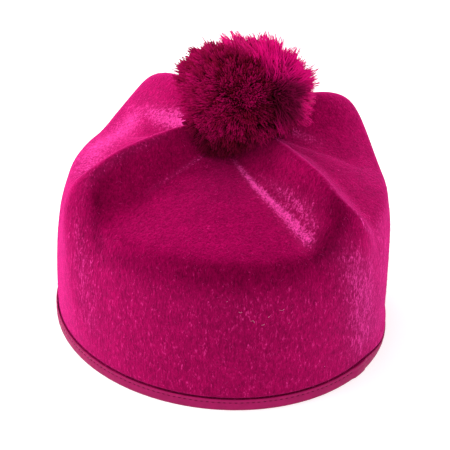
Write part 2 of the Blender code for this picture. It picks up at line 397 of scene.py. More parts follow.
def overhang(turn):
    """How far the felt hangs over the ribbon, from 0 to 1."""
    falls, low, rises, high = (math.radians(place) for place in OVERHANG)
    return float(smooth_step(falls, low, turn) * (1 - smooth_step(rises, high, turn)))


def ribbon_height(turn):
    """How high the ribbon shows on the outside."""
    return HEM_HEIGHT * (1 - OVERHANG_SHARE * overhang(turn))


def lap_share(turn):
    """1 where the ribbon's end lies over its start, and 0 elsewhere."""
    away = math.remainder(turn - math.radians(LAP_TURN), math.tau)
    near = abs(away) * float(oval_radius(turn, 0.0)) < LAP_LENGTH / 2
    return 1.0 if near else 0.0


def set_inputs(tree, node, **links):
    """Give each named input of a node its link, or set its value on the socket itself."""
    for name, value in links.items():
        key = int(name[1:]) if name[0] == "_" and name[1:].isdigit() else name.replace("_", " ")
        socket = node.inputs[key]
        if isinstance(value, bpy.types.NodeSocket):
            tree.links.new(value, socket)
        elif isinstance(value, tuple) and len(value) == 3 and socket.type == "RGBA":
            socket.default_value = (*value, 1.0)
        else:
            socket.default_value = value


def add_node(tree, kind, settings=None, **links):
    """Add a node with its settings, and with a value or a link for each named input."""
    node = tree.nodes.new(kind)
    for name, value in (settings or {}).items():
        setattr(node, name, value)
    set_inputs(tree, node, **links)
    return node


def new_material(name):
    """An empty node material and its shader."""
    material = bpy.data.materials.new(name)
    material.use_nodes = True
    return material, material.node_tree, material.node_tree.nodes["Principled BSDF"]


def scaled(color, factor):
    """A colour made lighter or darker by a factor."""
    return tuple(min(1.0, part * factor) for part in color)


def velour_felt():
    """Fur felt raised to a velour: short fibres that lie all ways over a dense sheet.

    It takes light softly, is dark where the fibres point at the eye and pale where they are
    seen edge on, and shows a mottle of fibre ends, drawn out upwards where the wall was brushed.
    The pale and dark strokes paint highlights and shade over that.
    """
    material, tree, shader = new_material("velour_felt")
    deep, side, nap = color_of("felt"), color_of("felt_side"), color_of("nap")
    place = add_node(tree, "ShaderNodeTexCoord").outputs["Object"]
    pale, dark = (
        add_node(tree, "ShaderNodeAttribute", {"attribute_name": name}).outputs["Fac"]
        for name in ("pale", "dark")
    )
    # Fibres about 0.6 mm apart are too fine to show, so they are drawn 1 mm apart.
    drawn_out = add_node(tree, "ShaderNodeMapping", Vector=place, Scale=(1.0, 1.0, 0.35))
    fibre = add_node(
        tree, "ShaderNodeTexNoise", Vector=drawn_out.outputs[0],
        Scale=1 / (1.0 * MM), Detail=3.0, Roughness=0.65, Distortion=1.0,
    ).outputs["Fac"]
    # Locks of fibres that lie the same way, some 2.4 mm apart.
    locks = add_node(
        tree, "ShaderNodeTexNoise", Vector=drawn_out.outputs[0],
        Scale=1 / (2.4 * MM), Detail=2.0, Roughness=0.55, Distortion=1.2,
    ).outputs["Fac"]
    # The cloudiness of a sheet brushed by hand, in patches of some 9 mm.
    cloud = add_node(
        tree, "ShaderNodeTexNoise", Vector=place, Scale=1 / (9.0 * MM), Detail=1.0,
    ).outputs["Fac"]
    relief = add_node(
        tree, "ShaderNodeMath", {"operation": "MULTIPLY_ADD"}, _0=locks, _1=1.5, _2=fibre,
    ).outputs[0]
    bump = add_node(
        tree, "ShaderNodeBump", Height=relief, Strength=0.7, Distance=0.4 * MM,
    ).outputs[0]
    # The sheen of a pile: one looks down between fibres that point at the eye, into the dark,
    # and sees the lit sides of those that don't.
    edge_on = add_node(tree, "ShaderNodeLayerWeight", Blend=0.5, Normal=bump).outputs["Facing"]
    sheen = add_node(
        tree, "ShaderNodeMath", {"operation": "POWER"}, _0=edge_on, _1=0.75,
    ).outputs[0]
    base = add_node(
        tree, "ShaderNodeMix", {"data_type": "RGBA"}, _0=sheen, _6=deep, _7=side,
    ).outputs[2]
    # How light each patch, fibre and lock is, and how much the painted shade of the dark strokes
    # # and the crevice darkens the felt. Each pattern runs between the first two numbers and gives
    # a
    # # factor between the other two.
    lightness = 1.0
    for pattern, low, high, at_low, at_high in (
        (cloud, 0.30, 0.70, 0.92, 1.08), (fibre, 0.34, 0.68, 0.66, 1.38),
        (locks, 0.30, 0.70, 0.88, 1.13), (dark, 0.0, 1.0, 1.0, 0.0),
    ):
        factor = add_node(
            tree, "ShaderNodeMapRange", Value=pattern, From_Min=low, From_Max=high,
            To_Min=at_low, To_Max=at_high,
        ).outputs[0]
        lightness = add_node(
            tree, "ShaderNodeMath", {"operation": "MULTIPLY"}, _0=lightness, _1=factor,
        ).outputs[0]
    base = add_node(
        tree, "ShaderNodeMix", {"data_type": "RGBA", "blend_type": "MULTIPLY"},
        _0=1.0, _6=base, _7=lightness,
    ).outputs[2]
    # The outermost fibres of the nap, which catch the light where the felt turns away.
    rim = add_node(
        tree, "ShaderNodeMath", {"operation": "POWER"}, _0=edge_on, _1=3.0,
    ).outputs[0]
    rim = add_node(
        tree, "ShaderNodeMath", {"operation": "MULTIPLY"}, _0=rim, _1=0.30,
    ).outputs[0]
    # The pale strokes add a little painted highlight here, and the brushed wall a little paler
    # nap.
    rim = add_node(
        tree, "ShaderNodeMath", {"operation": "MULTIPLY_ADD"}, _0=pale, _1=0.12, _2=rim,
    ).outputs[0]
    base = add_node(
        tree, "ShaderNodeMix", {"data_type": "RGBA"}, _0=rim, _6=base, _7=nap,
    ).outputs[2]
    # Where the felt is marked pale, pale fibre ends also stand out one by one: painted highlight
    #     # on the crown, rubbed nap on the wall.
    reach = add_node(
        tree, "ShaderNodeMath", {"operation": "MULTIPLY_ADD"}, _0=fibre, _1=2.0, _2=pale,
    ).outputs[0]
    reach = add_node(
        tree, "ShaderNodeMath", {"operation": "MULTIPLY_ADD"}, _0=locks, _1=0.9, _2=reach,
    ).outputs[0]
    pale_specks = add_node(
        tree, "ShaderNodeMapRange", Value=reach, From_Min=1.86, From_Max=2.45, To_Max=0.85,
    ).outputs[0]
    base = add_node(
        tree, "ShaderNodeMix", {"data_type": "RGBA"}, _0=pale_specks, _6=base, _7=nap,
    ).outputs[2]
    set_inputs(
        tree, shader, Base_Color=base, Normal=bump, Roughness=0.95, Specular_IOR_Level=0.0,
        Sheen_Weight=0.5, Sheen_Roughness=0.3, Sheen_Tint=nap,
    )
    return material


def satin_ribbon():
    """Woven satin ribbon: smooth, with fine ribs across it and a soft broad gloss."""
    material, tree, shader = new_material("satin_ribbon")
    color = color_of("ribbon")
    round_hem = add_node(tree, "ShaderNodeUVMap", {"uv_map": "along"}).outputs[0]
    # The weft is 0.3 mm apart, drawn 1.8 mm apart so that it shows at all. The bands of this
    # texture are a tenth of pi apart at a scale of 1.
    ribs = add_node(
        tree, "ShaderNodeTexWave", {"wave_type": "BANDS", "bands_direction": "X"},
        Vector=round_hem, Scale=math.pi / 10 / (1.8 * MM), Distortion=0.4, Detail=1.0,
    ).outputs["Fac"]
    # The dye takes a little unevenly, in patches of some 5 mm.
    uneven = add_node(
        tree, "ShaderNodeTexNoise", Vector=round_hem, Scale=1 / (5.0 * MM), Detail=3.0,
    ).outputs["Fac"]
    tone = add_node(
        tree, "ShaderNodeMix", {"data_type": "RGBA"},
        _0=uneven, _6=scaled(color, 0.72), _7=scaled(color, 1.22),
    ).outputs[2]
    bump = add_node(
        tree, "ShaderNodeBump", Height=ribs, Strength=0.25, Distance=0.05 * MM,
    ).outputs[0]
    set_inputs(
        tree, shader, Base_Color=tone, Normal=bump, Roughness=0.5, Specular_IOR_Level=0.12,
        Sheen_Weight=0.1, Sheen_Tint=scaled(color, 1.6),
    )
    return material


def sewing_thread():
    """Spun polyester thread, pulled into the ribbon. Its colour is painted dark for the shade of
    the dents that it lies in, and it hardly shines.
    """
    material, tree, shader = new_material("sewing_thread")
    color = color_of("thread")
    place = add_node(tree, "ShaderNodeTexCoord").outputs["Object"]
    # The light and dark of the twist, some 0.5 mm apart.
    twist = add_node(
        tree, "ShaderNodeTexNoise", Vector=place, Scale=1 / (0.5 * MM), Detail=1.0,
    ).outputs["Fac"]
    tone = add_node(
        tree, "ShaderNodeMix", {"data_type": "RGBA"},
        _0=twist, _6=scaled(color, 0.6), _7=scaled(color, 1.5),
    ).outputs[2]
    set_inputs(tree, shader, Base_Color=tone, Roughness=0.9, Specular_IOR_Level=0.05)
    return material


def cut_yarn():
    """Soft acrylic yarn, cut and fluffed, with painted shade: dark between the strands, lighter at
    their ends.
    """
    material, tree, shader = new_material("cut_yarn")
    root, shade, tip = color_of("yarn_deep_shade"), color_of("yarn_shade"), color_of("yarn_tip")
    along, tone, outward = (
        add_node(tree, "ShaderNodeAttribute", {"attribute_name": name}).outputs[output]
        for name, output in (("along", "Fac"), ("strand", "Fac"), ("outward", "Vector"))
    )
    rise = add_node(
        tree, "ShaderNodeMapRange", Value=along, From_Min=0.0, From_Max=0.9,
    ).outputs[0]
    # The strands stand so close that they are lit as one round pile more than one by one.
    own = add_node(tree, "ShaderNodeNewGeometry").outputs["Normal"]
    normal = add_node(
        tree, "ShaderNodeMix", {"data_type": "VECTOR"}, _0=0.65, _4=own, _5=outward,
    ).outputs[1]
    normal = add_node(
        tree, "ShaderNodeVectorMath", {"operation": "NORMALIZE"}, _0=normal,
    ).outputs[0]
    # Where the pile turns away, its strands are seen from the side, lit all along, so their colour
    #     # is painted lighter there.
    side_on = add_node(
        tree, "ShaderNodeLayerWeight", Blend=0.5, Normal=outward,
    ).outputs["Facing"]
    side_on = add_node(
        tree, "ShaderNodeMath", {"operation": "POWER"}, _0=side_on, _1=2.5,
    ).outputs[0]
    tone = add_node(
        tree, "ShaderNodeMath", {"operation": "MULTIPLY_ADD", "use_clamp": True},
        _0=side_on, _1=0.18, _2=tone,
    ).outputs[0]
    ends = add_node(
        tree, "ShaderNodeMix", {"data_type": "RGBA"}, _0=tone, _6=shade, _7=tip,
    ).outputs[2]
    # Painted shade: darker towards the roots, and where lit_share is low.
    color = add_node(
        tree, "ShaderNodeMix", {"data_type": "RGBA"}, _0=rise, _6=root, _7=ends,
    ).outputs[2]
    set_inputs(
        tree, shader, Base_Color=color, Normal=normal, Roughness=0.8, Specular_IOR_Level=0.05,
        Sheen_Weight=0.1, Sheen_Roughness=0.5, Sheen_Tint=tip,
    )
    return material


def packed_yarn():
    """The same yarn packed tight in the middle of the pompon, seen between the strands."""
    material, tree, shader = new_material("packed_yarn")
    root, end = color_of("yarn_deep_shade"), color_of("felt")
    place = add_node(tree, "ShaderNodeTexCoord").outputs["Object"]
    # Yarn ends seen from above, some 1.5 mm apart, and painted darker where less light would come
    # in.
    ends = add_node(
        tree, "ShaderNodeTexNoise", Vector=place, Scale=1 / (1.5 * MM), Detail=2.0,
    ).outputs["Fac"]
    tone = add_node(
        tree, "ShaderNodeMix", {"data_type": "RGBA"}, _0=ends, _6=root, _7=end,
    ).outputs[2]
    lit = add_node(tree, "ShaderNodeAttribute", {"attribute_name": "along"}).outputs["Fac"]
    tone = add_node(
        tree, "ShaderNodeMix", {"data_type": "RGBA"}, _0=lit, _6=scaled(root, 0.5), _7=tone,
    ).outputs[2]
    set_inputs(tree, shader, Base_Color=tone, Roughness=0.95, Specular_IOR_Level=0.0)
    return material


def fibre_ends():
    """Single fibres of the felt, their colour painted pale for the light that comes at them from
    all sides.
    """
    material, tree, shader = new_material("fibre_ends")
    side, nap = color_of("felt_side"), color_of("nap")
    strand = add_node(tree, "ShaderNodeAttribute", {"attribute_name": "strand"}).outputs["Fac"]
    tone = add_node(
        tree, "ShaderNodeMix", {"data_type": "RGBA"},
        _0=strand, _6=scaled(side, 0.5), _7=scaled(nap, 0.8),
    ).outputs[2]
    set_inputs(tree, shader, Base_Color=tone, Roughness=0.8, Specular_IOR_Level=0.05)
    return material


def lint_fibre():
    """White lint from another cloth, caught in the nap, coloured pale pink."""
    material, tree, shader = new_material("lint_fibre")
    set_inputs(tree, shader, Base_Color=color_of("lint"), Roughness=0.6)
    return material


def opal_sheet():
    """Opal acrylic sheet lit softly from below, as a packshot table has it."""
    material, tree, shader = new_material("opal_sheet")
    set_inputs(
        tree, shader, Base_Color=color_of("floor"), Roughness=0.95, Specular_IOR_Level=0.1,
        Emission_Color=(1.0, 1.0, 1.0), Emission_Strength=0.35,
    )
    return material


def add_piece(name, mesh, material, nodes=()):
    """Show a finished mesh as a piece that rides on the part, perhaps in place of nodes."""
    mesh.name = name
    mesh.materials.clear()
    mesh.materials.append(material)
    piece = bpy.data.objects.new(name, mesh)
    bpy.context.scene.collection.objects.link(piece)
    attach(piece, "root")
    if nodes:
        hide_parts(*nodes)


def mesh_from(shape, smooth=True):
    """A mesh of a finished bmesh."""
    mesh = bpy.data.meshes.new("shape")
    shape.to_mesh(mesh)
    shape.free()
    mesh.polygons.foreach_set("use_smooth", [smooth] * len(mesh.polygons))
    return mesh


def cad_copy(node):
    """A copy of a CAD node, to work on."""
    shape = bmesh.new()
    shape.from_mesh(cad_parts[node].data)
    return shape


def merged_copy(node):
    """A copy of a CAD node with its loose triangles joined up."""
    shape = cad_copy(node)
    bmesh.ops.remove_doubles(shape, verts=shape.verts, dist=MERGE_DISTANCE)
    wide = math.radians(50)
    bmesh.ops.join_triangles(
        shape, faces=shape.faces, angle_face_threshold=wide, angle_shape_threshold=wide,
    )
    return shape


def subdivided(mesh, levels):
    """The mesh smoothed and refined as Subdivision Surface does it."""
    helper = bpy.data.objects.new("helper", mesh)
    bpy.context.scene.collection.objects.link(helper)
    modifier = helper.modifiers.new("Smooth", "SUBSURF")
    modifier.levels = modifier.render_levels = levels
    graph = bpy.context.evaluated_depsgraph_get()
    fine = bpy.data.meshes.new_from_object(helper.evaluated_get(graph))
    bpy.data.objects.remove(helper)
    bpy.data.meshes.remove(mesh)
    return fine


def places(mesh):
    """The places of a mesh's vertices as an array."""
    found = np.empty(len(mesh.vertices) * 3, np.float32)
    mesh.vertices.foreach_get("co", found)
    return found.reshape(-1, 3).astype(float)


def store(mesh, name, values):
    """Keep a value or a direction for each vertex, for a material to read."""
    values = np.asarray(values, np.float32)
    kind, field = ("FLOAT", "value") if values.ndim == 1 else ("FLOAT_VECTOR", "vector")
    mesh.attributes.new(name, kind, "POINT").data.foreach_set(field, values.ravel())


def fill_mesh(mesh, points, corner_list, face_sizes):
    """Give a new mesh its vertices and faces from arrays."""
    mesh.vertices.add(len(points))
    mesh.vertices.foreach_set("co", np.asarray(points, np.float32).ravel())
    mesh.loops.add(len(corner_list))
    mesh.loops.foreach_set("vertex_index", np.asarray(corner_list, np.int32))
    starts = np.concatenate([[0], np.cumsum(face_sizes)[:-1]])
    mesh.polygons.add(len(face_sizes))
    mesh.polygons.foreach_set("loop_start", starts.astype(np.int32))
    mesh.polygons.foreach_set("use_smooth", np.ones(len(face_sizes), bool))
    mesh.update(calc_edges=True)
    mesh.validate()


def joined(template_places, template_faces, matrices):
    """One mesh of many copies of a small shape."""
    count, corners = len(matrices), len(template_places)
    turned = np.einsum("nij,kj->nki", matrices[:, :3, :3], template_places)
    points = (turned + matrices[:, None, :3, 3]).reshape(-1, 3)
    sizes_of = [len(face) for face in template_faces] * count
    flat = np.concatenate([np.array(face) for face in template_faces])
    corner_list = (flat[None, :] + (np.arange(count) * corners)[:, None]).ravel()
    mesh = bpy.data.meshes.new("copies")
    fill_mesh(mesh, points, corner_list, sizes_of)
    return mesh


def strand_mesh(paths, widths, values, lit=1.0, sides=3):
    """One mesh of many tapered strands along paths of the same number of points.

    It keeps each strand's value, and how far along its strand a place is, times how lit it is.
    """
    count, steps = paths.shape[:2]
    along = unit(np.gradient(paths, axis=1))
    # Any direction that the strand doesn't run in gives its two sideways ones.
    spare = np.where(np.abs(along[:, :1, 2:3]) < 0.9, [[[0.0, 0.0, 1.0]]], [[[1.0, 0.0, 0.0]]])
    right = unit(np.cross(along, np.broadcast_to(spare, along.shape)))
    up = np.cross(along, right)
    turn = np.arange(sides) * math.tau / sides
    ring = right[:, :, None, :] * np.cos(turn)[None, None, :, None]
    ring = ring + up[:, :, None, :] * np.sin(turn)[None, None, :, None]
    points = paths[:, :, None, :] + ring * widths[:, :, None, None] / 2
    corner = np.arange(count * steps * sides).reshape(count, steps, sides)
    following = np.roll(corner, -1, axis=2)
    quads = np.stack(
        [corner[:, :-1], following[:, :-1], following[:, 1:], corner[:, 1:]], axis=-1
    ).reshape(-1, 4)
    caps = np.concatenate([corner[:, 0, ::-1], corner[:, -1]]).reshape(-1, sides)
    mesh = bpy.data.meshes.new("strands")
    corner_list = np.concatenate([quads.ravel(), caps.ravel()])
    fill_mesh(mesh, points.reshape(-1, 3), corner_list, [4] * len(quads) + [sides] * len(caps))
    share = np.broadcast_to(np.linspace(0, 1, steps)[None, :, None], (count, steps, sides))
    store(mesh, "along", (share * np.reshape(lit, (-1, 1, 1))).ravel())
    store(mesh, "strand", np.repeat(values, steps * sides))
    return mesh


def felt_tree():
    """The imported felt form, to keep things off it."""
    shape = cad_copy("felt_cap")
    tree = BVHTree.FromBMesh(shape)
    shape.free()
    return tree


def lifted_off(points, tree, clearance):
    """Points moved straight up where they are in the felt or too near it."""
    for point in points:
        hit = tree.ray_cast(Vector((point[0], point[1], 1.0)), Vector((0, 0, -1)))[0]
        if hit is not None and point[2] < hit.z + clearance:
            point[2] = hit.z + clearance
    return points


def painted(points, strokes):
    """How strongly the strokes cover each point. Each fades out across its own width."""
    found = np.zeros(len(points))
    for stroke in strokes:
        path = np.array(stroke.places)
        path[:, :4] *= MM
        for start, end in zip(path[:-1], path[1:]):
            step = end[:3] - start[:3]
            share = np.clip((points - start[:3]) @ step / (step @ step), 0, 1)
            width, strength = (
                start[column] + (end[column] - start[column]) * share for column in (3, 4)
            )
            away = np.linalg.norm(points - start[:3] - share[:, None] * step, axis=1)
            found = np.maximum(found, strength * np.exp(-((away / width) ** 2)))
    return found


def draw_in(shape):
    """Shape the felt above the ribbon's edge.

    The ribbon is sewn on tight, so it draws the felt in just above its edge. Where the felt
    hangs over the ribbon, it stands as far out as the ribbon does.
    """
    for corner in shape.verts:
        outward = (corner.co - HEM_MIDDLE).xy
        turn = math.atan2(outward.y, outward.x)
        rise = corner.co.z - HEM_HEIGHT
        above = corner.co.z - ribbon_height(turn)
        outside = outward.length > oval_radius(turn, -RIBBON - RIBBON_GAP - FELT / 2)
        if outside and above > -1.0 * MM and rise < 2 * HANG_FADE:
            drawn_in = TIGHTNESS * math.exp(-((max(above, 0.0) / TIGHT_FADE) ** 2))
            hung_out = overhang(turn) * (RIBBON + RIBBON_GAP)
            hung_out *= math.exp(-((max(rise, 0.0) / HANG_FADE) ** 2))
            outward.normalize()
            corner.co.x += outward.x * (hung_out - drawn_in)
            corner.co.y += outward.y * (hung_out - drawn_in)


def felt_mesh():
    """The felt form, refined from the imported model's."""
    mesh = subdivided(mesh_from(merged_copy("felt_cap")), 2)
    shape = bmesh.new()
    shape.from_mesh(mesh)
    bpy.data.meshes.remove(mesh)
    for rise in HEM_ROWS:
        bmesh.ops.bisect_plane(
            shape, geom=list(shape.verts) + list(shape.edges) + list(shape.faces),
            plane_co=(0, 0, HEM_HEIGHT + rise * MM), plane_no=(0, 0, 1), dist=MERGE_DISTANCE,
        )
    draw_in(shape)
    mesh = mesh_from(shape)
    points = places(mesh)
    # The wall was brushed all over, so its nap is paler. The pale strokes add painted highlights
    # # on the crown and rubbed nap on the wall.
    wall = WALL_BRUSHING * smooth_step(WALL_UNBRUSHED_FROM, WALL_BRUSHED_TO, points[:, 2])
    store(mesh, "pale", np.maximum(painted(points, PALE_STROKES), wall))
    # Painted shade: the dark strokes, and the crevice where the ribbon draws the felt in.
    turns = np.arctan2(points[:, 1] - HEM_MIDDLE.y, points[:, 0] - HEM_MIDDLE.x)
    heights = np.array([ribbon_height(turn) for turn in turns])
    crevice_shade = np.exp(-(((points[:, 2] - heights) / CREVICE_SHADE_HEIGHT) ** 2))
    store(mesh, "dark", np.maximum(painted(points, PAINTED_SHADE_STROKES), CREVICE_SHADE_STRENGTH * crevice_shade))
    return mesh


class BIRETTA_OT_felt_cap(bpy.types.Operator):
    """The moulded felt cap with its nap"""

    bl_idname = "biretta.felt_cap"
    bl_label = "Felt cap"

    def execute(self, context):
        add_piece("felt_cap_velour", felt_mesh(), velour_felt(), ("felt_cap",))
        return {"FINISHED"}


def ribbon_section():
    """The ribbon's section, from its lower outer edge up, as (outset, height).

    Its folds are soft, and the stitches pull a dent into its outside.
    """
    soft = 0.35 * MM
    dent = 0.18 * MM
    inner = -(2 * RIBBON + 2 * RIBBON_GAP + FELT)
    stitch = HEM_HEIGHT - STITCH_DROP
    return (
        (-soft, 0.0),
        (-0.1 * MM, 0.12 * MM),
        (0.0, 0.5 * MM),
        (0.12 * MM, stitch - 1.6 * MM),
        (0.05 * MM, stitch - 0.5 * MM),
        (-dent, stitch),
        (0.05 * MM, stitch + 0.5 * MM),
        (0.10 * MM, HEM_HEIGHT - 0.6 * MM),
        (-0.05 * MM, HEM_HEIGHT - 0.15 * MM),
        (-soft, HEM_HEIGHT),
        (-RIBBON, HEM_HEIGHT - 0.1 * MM),
        (-RIBBON, RIBBON),
        (inner + RIBBON, RIBBON),
        (inner + RIBBON, HEM_HEIGHT - 0.1 * MM),
        (inner + soft, HEM_HEIGHT),
        (inner, HEM_HEIGHT - 0.4 * MM),
        (inner, 0.4 * MM),
        (inner + soft, 0.0),
    )


class BIRETTA_OT_hem_ribbon(bpy.types.Operator):
    """The satin ribbon folded over the felt's lower edge"""

    bl_idname = "biretta.hem_ribbon"
    bl_label = "Hem ribbon"

    def execute(self, context):
        # The section is spun to a round ring of the hem's mean size, and then made oval.
        shape = bmesh.new()
        mean = (HEM_ACROSS + HEM_ALONG) / 2
        ring = [shape.verts.new((mean + out, 0.0, height)) for out, height in ribbon_section()]
        edges = [shape.edges.new((ring[i - 1], ring[i])) for i in range(len(ring))]
        bmesh.ops.spin(
            shape, geom=ring + edges, axis=(0, 0, 1), cent=(0, 0, 0),
            angle=math.tau, steps=RIBBON_STEPS, use_merge=True,
        )
        bmesh.ops.remove_doubles(shape, verts=shape.verts, dist=MERGE_DISTANCE)
        bmesh.ops.recalc_face_normals(shape, faces=shape.faces)
        # The weave follows the ribbon: metres along it, and metres up.
        along = shape.loops.layers.uv.new("along")
        for face in shape.faces:
            middle = face.calc_center_median()
            about = math.atan2(middle.y, middle.x)
            for loop in face.loops:
                turn = math.atan2(loop.vert.co.y, loop.vert.co.x)
                turn = about + math.remainder(turn - about, math.tau)
                loop[along].uv = (turn * mean, loop.vert.co.z)
        # The outer fold is as low as the felt that hangs over it, and thicker at the lap.
        for corner in shape.verts:
            turn = math.atan2(corner.co.y, corner.co.x)
            outset = corner.co.xy.length - mean
            if outset > -1.1 * RIBBON:
                corner.co.z *= ribbon_height(turn) / HEM_HEIGHT
            if outset > -RIBBON:
                outset += LAP_RISE * lap_share(turn)
            radius = float(oval_radius(turn, outset))
            corner.co.x = radius * math.cos(turn) + HEM_MIDDLE.x
            corner.co.y = radius * math.sin(turn) + HEM_MIDDLE.y
        add_piece(
            "hem_ribbon", mesh_from(shape), satin_ribbon(), ("hem_binding",),
        )
        return {"FINISHED"}


def hem_places(pitch):
    """Evenly spaced turns round the hem, by the length of its outside."""
    turns = np.linspace(0, math.tau, 2001)
    x, y = oval_places(turns, 0.0)
    length = np.concatenate([[0], np.cumsum(np.hypot(np.diff(x), np.diff(y)))])
    count = round(length[-1] / pitch)
    return np.interp(np.arange(count) * length[-1] / count, length, turns)


class BIRETTA_OT_hem_stitches(bpy.types.Operator):
    """The row of stitches near the ribbon's upper edge"""

    bl_idname = "biretta.hem_stitches"
    bl_label = "Hem stitches"

    def execute(self, context):
        shape = bmesh.new()
        bmesh.ops.create_uvsphere(shape, u_segments=6, v_segments=5, radius=0.5)
        points = np.array([corner.co for corner in shape.verts])
        faces = [[corner.index for corner in face.verts] for face in shape.faces]
        shape.free()
        # The ball's poles become the stitch's two ends.
        points = points[:, [2, 1, 0]]
        points = points * (sizes().stitch_length, STITCH_THICKNESS, STITCH_THICKNESS)
        # The stitches are sewn a little unevenly.
        chance = np.random.default_rng(11)
        turns = hem_places(sizes().stitch_pitch)
        turns = turns + chance.uniform(-0.0015, 0.0015, len(turns))
        # No stitch shows where the felt hangs over the ribbon.
        turns = turns[[overhang(math.remainder(turn, math.tau)) < 0.05 for turn in turns]]
        # They lie a little sunk into the ribbon.
        x, y = oval_places(turns, -0.12 * MM)
        facing = np.arctan2(y / HEM_ALONG**2, x / HEM_ACROSS**2) + math.pi / 2
        tilt = chance.uniform(-0.06, 0.06, len(turns))
        matrices = np.zeros((len(turns), 4, 4))
        for index in range(len(turns)):
            place = Vector((x[index], y[index], HEM_HEIGHT - STITCH_DROP)) + HEM_MIDDLE
            turned = Matrix.Rotation(facing[index], 4, "Z") @ Matrix.Rotation(tilt[index], 4, "Y")
            matrices[index] = Matrix.Translation(place) @ turned
        # The axes were swapped above, so the faces are turned round to point outwards.
        mesh = joined(points, [face[::-1] for face in faces], matrices)
        add_piece("hem_stitches", mesh, sewing_thread())
        return {"FINISHED"}


def spread_directions(count, chance):
    """Directions spread evenly over a ball, each a little astray."""
    index = np.arange(count) + 0.5
    height = 1 - 2 * index / count
    turn = index * math.pi * (3 - math.sqrt(5))
    flat = np.sqrt(1 - height**2)
    found = np.stack([flat * np.cos(turn), flat * np.sin(turn), height], axis=1)
    found = found + chance.normal(0, 0.6 / math.sqrt(count), found.shape)
    return unit(found)


def nearest_of(ways, others):
    """For each direction, which of the others is the nearest."""
    # They are compared a thousand at a time, to spare memory.
    found = [
        np.argmax(ways[start : start + 1000] @ others.T, axis=1)
        for start in range(0, len(ways), 1000)
    ]
    return np.concatenate(found)


def reach_of(ways):
    """How far the ball of yarn reaches in each direction, as a share of its radius."""
    reach = np.full(len(ways), YARN_REACH)
    for swell in SWELLS:
        angle = np.arccos(np.clip(cosine_to(ways, swell.turn, swell.up), -1, 1))
        reach += swell.share * np.exp(-((np.degrees(angle) / swell.width) ** 2))
    return reach


def lit_share(ways):
    """The painted shade between the strands: how lit their colour is drawn, from 0.1 in the hollow
    or low down to 1.
    """
    hollow = smooth_step(0.80, 0.98, cosine_to(ways, *HOLLOW))
    low = smooth_step(-0.1, 0.6, -ways[:, 2])
    return np.clip(1 - 0.85 * hollow - 0.80 * low, 0.1, 1.0)


def fan_share(ways):
    """1 where the long strands lie over the pile, and 0 where the cut ends face outwards."""
    by_fan = smooth_step(0.10, 0.35, cosine_to(ways, *FAN))
    return by_fan * smooth_step(0.44, 0.34, cosine_to(ways, *CUT_ENDS))


def pile_paths(ball, chance):
    """The pompon's pile, as paths out from its middle, and how light each strand is.

    A cut end of yarn is fluffed into strands that lean apart, some ends more than others. The
    ends stand close, and they are shorter by the parting and under the fan.
    """
    tufts = spread_directions(sizes().tuft_count, chance)
    clumps = spread_directions(CLUMPS, chance)
    clump = nearest_of(tufts, clumps)
    angle = np.arccos(np.clip(cosine_to(tufts, *PARTING), -1, 1))
    # Each end leans towards the middle of its clump, and a little at random.
    ways = unit(tufts + 0.16 * (clumps[clump] - tufts) + chance.normal(0, 0.025, tufts.shape))
    length = ball * reach_of(tufts) * chance.uniform(0.93, 1.03, CLUMPS)[clump]
    length *= chance.uniform(0.88, 1.04, len(tufts))
    length *= 1 - 0.14 * np.exp(-((angle / 0.30) ** 2))
    length *= 1 - 0.10 * fan_share(tufts)
    fluff = chance.uniform(0.8, 1.7, len(tufts)) * MM
    # How light an end is depends on its clump, and then on the end itself.
    tone = 0.17 + chance.uniform(-0.14, 0.16, CLUMPS)[clump]
    tone = tone + chance.uniform(-0.12, 0.20, len(tufts))
    tufts, ways, length, fluff, tone = (
        np.repeat(values, STRANDS_IN_TUFT, axis=0) for values in (tufts, ways, length, fluff, tone)
    )
    # From here on there is one row for each strand.
    lean = chance.normal(0, 1, tufts.shape) * fluff[:, None]
    length = length * chance.normal(0.99, 0.03, len(length))
    start = tufts * length[:, None] * 0.76 + 0.3 * lean
    end = ways * length[:, None] + lean + chance.normal(0, 0.7 * MM, lean.shape)
    tone = tone + chance.uniform(-0.06, 0.10, len(tone))
    return np.stack([start, end], axis=1), tone


def fan_paths(ball, chance):
    """Long strands that start together at the parting and splay over the pile beside it.

    Each is a bow of four points, from its start over a bend to its end.
    """
    parting = np.array(view_direction(*PARTING))
    ways = spread_directions(sizes().fan_count * 4, chance)
    ways = ways[chance.permutation(len(ways))]
    ways = ways[fan_share(ways) > chance.uniform(0.3, 1.0, len(ways))][: sizes().fan_count]
    count = len(ways)
    start = parting * ball * 0.45 + ways * ball * 0.22 + chance.normal(0, 1.4 * MM, ways.shape)
    # Their ends draw together in small clumps.
    clumps = spread_directions(5 * CLUMPS, chance)
    clump = nearest_of(ways, clumps)
    reach = reach_of(ways) * chance.uniform(0.94, 1.13, len(clumps))[clump]
    reach *= chance.uniform(0.86, 1.08, count)
    end = unit(ways + 0.35 * (clumps[clump] - ways)) * (ball * reach)[:, None]
    middle = (start + end) / 2
    bend = middle + unit(middle) * ball * chance.uniform(0.04, 0.26, (count, 1))
    bend = bend + chance.normal(0, 1.0 * MM, bend.shape)
    share = np.linspace(0, 1, 4)[None, :, None]
    paths = start[:, None] * (1 - share) ** 2 + bend[:, None] * 2 * share * (1 - share)
    paths = paths + end[:, None] * share**2
    tone = chance.uniform(0.30, 1.05, len(clumps))[clump]
    # Painted light: the strands' colour is lighter towards the side, as if more light came in
    # there.
    tone = tone + 0.55 * np.clip(cosine_to(ways, 90, 0), 0, 1)
    return paths, tone + chance.uniform(-0.10, 0.25, count)


